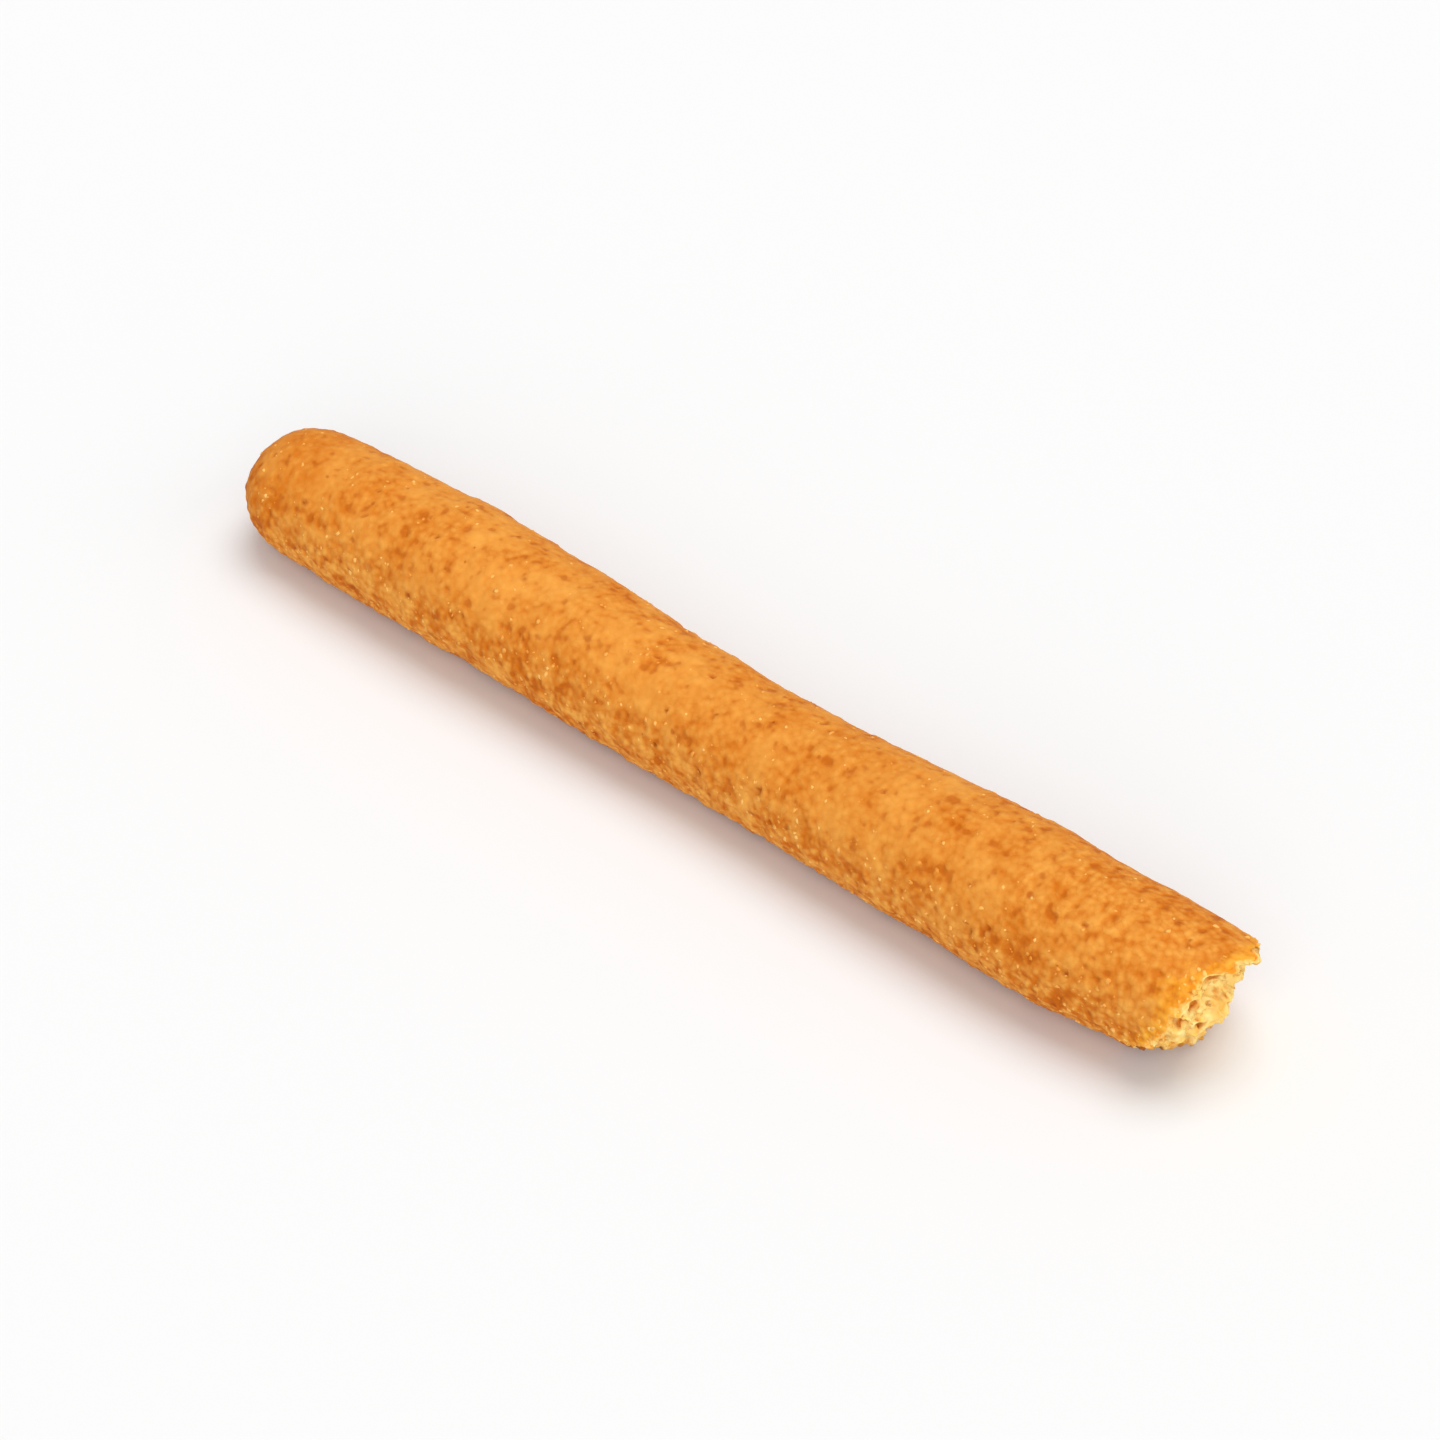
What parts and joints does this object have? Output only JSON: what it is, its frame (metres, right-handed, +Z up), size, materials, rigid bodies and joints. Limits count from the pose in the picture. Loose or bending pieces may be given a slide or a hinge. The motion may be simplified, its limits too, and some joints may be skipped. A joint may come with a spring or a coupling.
{
  "type": "rusk stick",
  "caption": "Hand-rolled, twice-baked bread stick with a browned crust, rounded at one end and torn at the other, where the pale crumb shows.",
  "frame": {"origin": "on the surface that the stick rests on, under the middle of its bounding box", "axes": "+X along the stick from the rounded end to the torn end, +Z up, -Y the side that faces the viewer"},
  "size_m": [0.1422, 0.0178, 0.0159],
  "materials": {
    "crust": "matte, dry and finely pitted golden-brown baked crust, with pale yellow porous crumb on the torn end"
  },
  "bodies": {
    "root": {"rusk_stick": "crust"}
  },
  "joints": []
}
